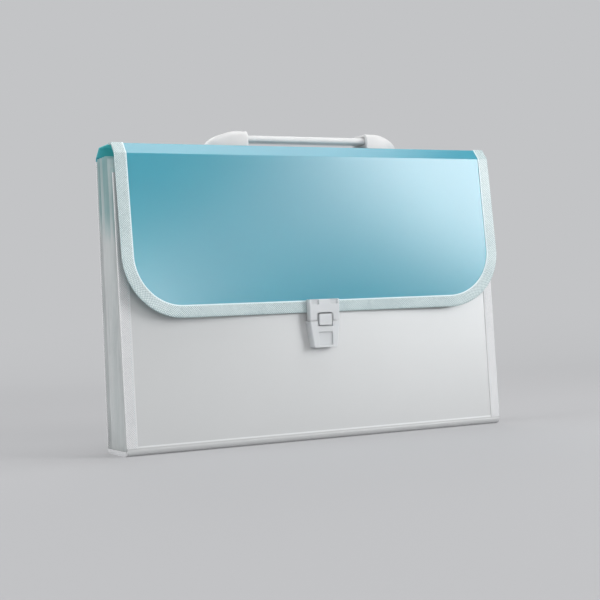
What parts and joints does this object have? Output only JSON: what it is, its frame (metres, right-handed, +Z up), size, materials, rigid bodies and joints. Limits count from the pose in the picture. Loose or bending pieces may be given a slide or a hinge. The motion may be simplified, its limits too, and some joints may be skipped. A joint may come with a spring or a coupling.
{
  "type": "expanding file",
  "caption": "Upright expanding file for papers, with a bound flap, a strap handle, pleated ends, tabbed dividers and a press clasp.",
  "frame": {"origin": "centre of the flat base, on the surface it stands on", "axes": "+X along the width to the right as seen from the front, +Y from front to back, +Z up"},
  "size_m": [0.33, 0.0521, 0.2417],
  "materials": {
    "frosted_sheet": "frosted, lets a little light through",
    "woven_tape": "plain weave",
    "pleated_film": "frosted film",
    "flap_sheet": "soft gloss",
    "divider_sheet": "frosted",
    "label_paper": "uncoated",
    "handle_plastic": "semi-gloss",
    "buckle_plastic": "semi-gloss",
    "backing_plastic": "moulded",
    "rivet_metal": "satin"
  },
  "bodies": {
    "back_and_base": {"back_and_base_sheet": "frosted_sheet", "back_binding_left": "woven_tape", "back_binding_right": "woven_tape", "base_binding_left": "woven_tape", "base_binding_right": "woven_tape", "flap_back_sheet": "flap_sheet", "gusset_left": "pleated_film", "gusset_right": "pleated_film"},
    "flap_top": {"flap_top_strip": "flap_sheet", "flap_top_binding": "woven_tape", "handle_cap_left": "handle_plastic", "handle_cap_right": "handle_plastic", "handle_strap_end_left": "handle_plastic", "handle_strap_end_right": "handle_plastic", "handle_rivets": "rivet_metal", "handle_backing_plates": "backing_plastic"},
    "handle_grip": {"handle_strap_grip": "handle_plastic"},
    "flap_front": {"flap_front_sheet": "flap_sheet", "flap_front_binding": "woven_tape", "buckle_upper_half": "buckle_plastic", "buckle_upper_backing": "backing_plastic", "buckle_upper_rivets": "rivet_metal"},
    "front_panel": {"front_panel": "frosted_sheet", "front_binding_left": "woven_tape", "front_binding_right": "woven_tape", "buckle_lower_half": "buckle_plastic", "buckle_lower_backing": "backing_plastic", "buckle_lower_rivets": "rivet_metal"},
    "release_tongue": {"buckle_release_tongue": "buckle_plastic"},
    "divider_1": {"divider_1": "divider_sheet", "index_label_1": "label_paper"},
    "divider_2": {"divider_2": "divider_sheet", "index_label_2": "label_paper"},
    "divider_3": {"divider_3": "divider_sheet", "index_label_3": "label_paper"},
    "divider_4": {"divider_4": "divider_sheet", "index_label_4": "label_paper"},
    "divider_5": {"divider_5": "divider_sheet", "index_label_5": "label_paper"}
  },
  "joints": [
    {"name": "flap", "type": "hinge", "parent": "back_and_base", "child": "flap_top", "pos_m": [0, 0.022, 0.2225], "axis": [-1, 0, 0], "range_deg": [0, 180]},
    {"name": "flap_front_fold", "type": "hinge", "parent": "flap_top", "child": "flap_front", "pos_m": [0, -0.014, 0.2297], "axis": [-1, 0, 0], "range_deg": [0, 85]},
    {"name": "front_panel_fan", "type": "hinge", "parent": "back_and_base", "child": "front_panel", "pos_m": [0, -0.02125, 0.0052], "axis": [1, 0, 0], "range_deg": [0, 40], "deforming": ["gusset_left", "gusset_right"]},
    {"name": "divider_1_fan", "type": "hinge", "parent": "back_and_base", "child": "divider_1", "pos_m": [0, 0.01336, 0.00163], "axis": [1, 0, 0], "range_deg": [0, 2.96]},
    {"name": "divider_2_fan", "type": "hinge", "parent": "back_and_base", "child": "divider_2", "pos_m": [0, 0.00665, 0.00163], "axis": [1, 0, 0], "range_deg": [0, 10.37]},
    {"name": "divider_3_fan", "type": "hinge", "parent": "back_and_base", "child": "divider_3", "pos_m": [0, -0.00006, 0.00163], "axis": [1, 0, 0], "range_deg": [0, 20]},
    {"name": "divider_4_fan", "type": "hinge", "parent": "back_and_base", "child": "divider_4", "pos_m": [0, -0.00677, 0.00163], "axis": [1, 0, 0], "range_deg": [0, 29.63]},
    {"name": "divider_5_fan", "type": "hinge", "parent": "back_and_base", "child": "divider_5", "pos_m": [0, -0.01348, 0.00163], "axis": [1, 0, 0], "range_deg": [0, 37.04]},
    {"name": "handle_lift", "type": "slide", "parent": "flap_top", "child": "handle_grip", "axis": [0, 0, 1], "range_m": [0, 0.018], "stiffness_N_per_m": 150, "deforming": ["handle_strap_end_left", "handle_strap_end_right"]},
    {"name": "release_tongue_press", "type": "hinge", "parent": "front_panel", "child": "release_tongue", "pos_m": [0, -0.0245, 0.0854], "axis": [-1, 0, 0], "range_deg": [0, 8], "stiffness_Nm_per_rad": 0.4}
  ],
  "couplings": [
    {"joint": "flap_front_fold", "follows": "flap", "ratio": 0.47222},
    {"joint": "front_panel_fan", "follows": "flap", "ratio": 0.22222},
    {"joint": "divider_1_fan", "follows": "flap", "ratio": 0.016466},
    {"joint": "divider_2_fan", "follows": "flap", "ratio": 0.057622},
    {"joint": "divider_3_fan", "follows": "flap", "ratio": 0.11111},
    {"joint": "divider_4_fan", "follows": "flap", "ratio": 0.1646},
    {"joint": "divider_5_fan", "follows": "flap", "ratio": 0.20575}
  ]
}
